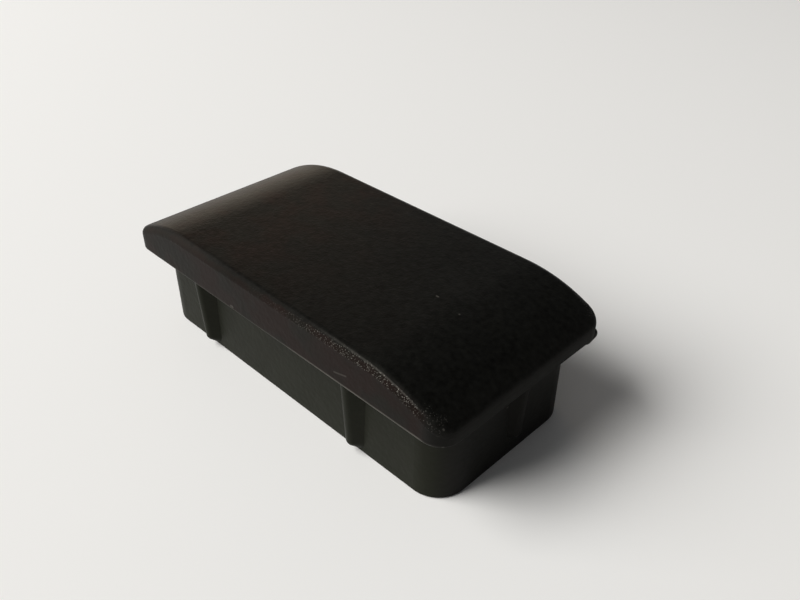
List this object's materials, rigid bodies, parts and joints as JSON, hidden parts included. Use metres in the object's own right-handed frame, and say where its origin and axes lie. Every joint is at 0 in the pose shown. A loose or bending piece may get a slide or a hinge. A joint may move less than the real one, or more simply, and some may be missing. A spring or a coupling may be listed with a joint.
{
  "type": "rectangular tube end cap",
  "caption": "Push-in plastic end cap for a rectangular tube, with an arched head, a flush flange and a hollow skirt with upright grip ribs.",
  "frame": {"origin": "centre of the flange's underside, the plane that lands on the end of the tube", "axes": "+X along the tube's wide side, +Y along its narrow side, +Z out of the tube through the crown, so the skirt hangs below z = 0"},
  "size_m": [0.06, 0.03, 0.0178],
  "materials": {
    "black_plastic": "black polyethylene with a fine moulded grain and a low sheen"
  },
  "bodies": {
    "root": {"end_cap": "black_plastic"}
  },
  "joints": []
}
